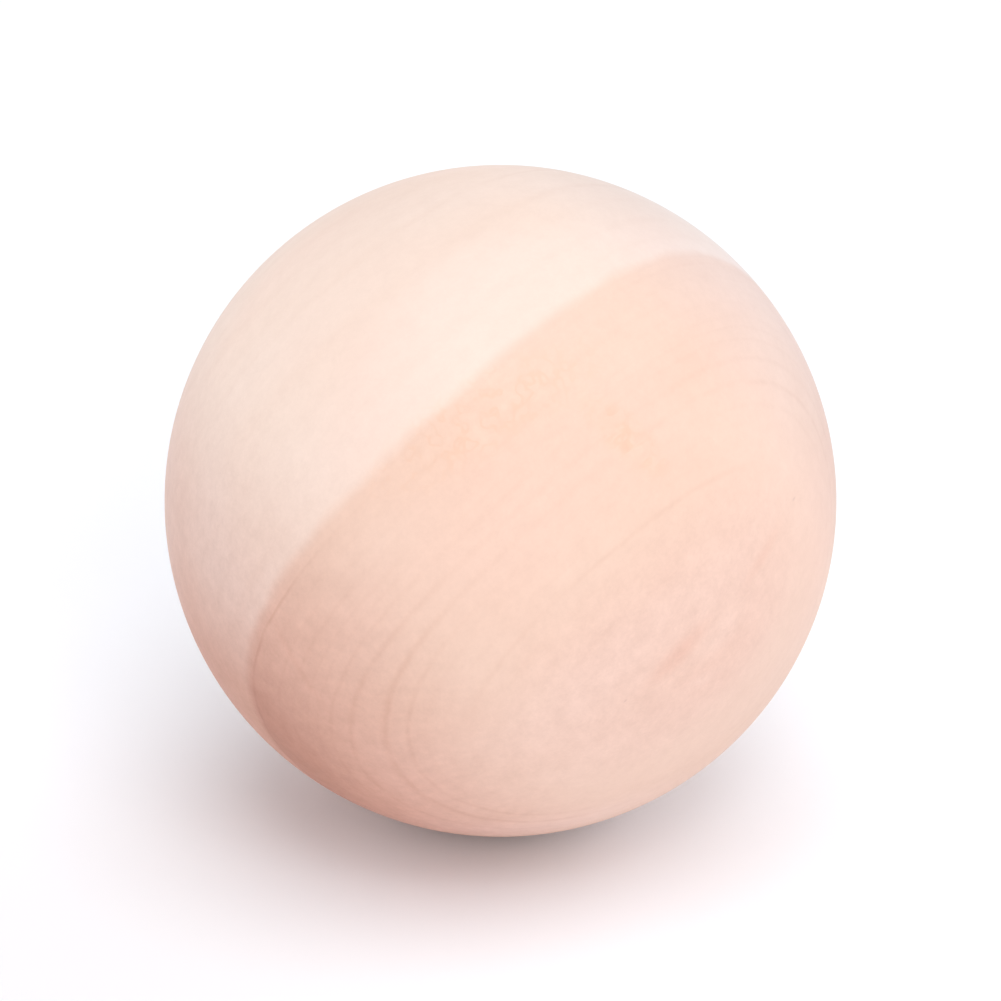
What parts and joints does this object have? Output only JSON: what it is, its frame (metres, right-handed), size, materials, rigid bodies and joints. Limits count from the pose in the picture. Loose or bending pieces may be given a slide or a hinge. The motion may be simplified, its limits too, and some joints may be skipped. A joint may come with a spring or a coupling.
{
  "type": "wooden ball",
  "caption": "Solid turned wooden ball, sanded smooth, in pale close-grained wood with a curved band of warmer heartwood.",
  "frame": {"origin": "centre of the ball", "axes": "+Z is the lathe axis that the section is turned about, up; a true ball is the same about every axis through its centre"},
  "size_m": [0.05, 0.05, 0.05],
  "materials": {
    "wood": "bare wood, turned and fine-sanded, matt to a faint satin, with a pale cream side and a warm peach side that meet along one growth ring, fine growth-ring lines, and a darker cap of end grain at the lower left of the front"
  },
  "bodies": {
    "root": {"ball": "wood"}
  },
  "joints": []
}
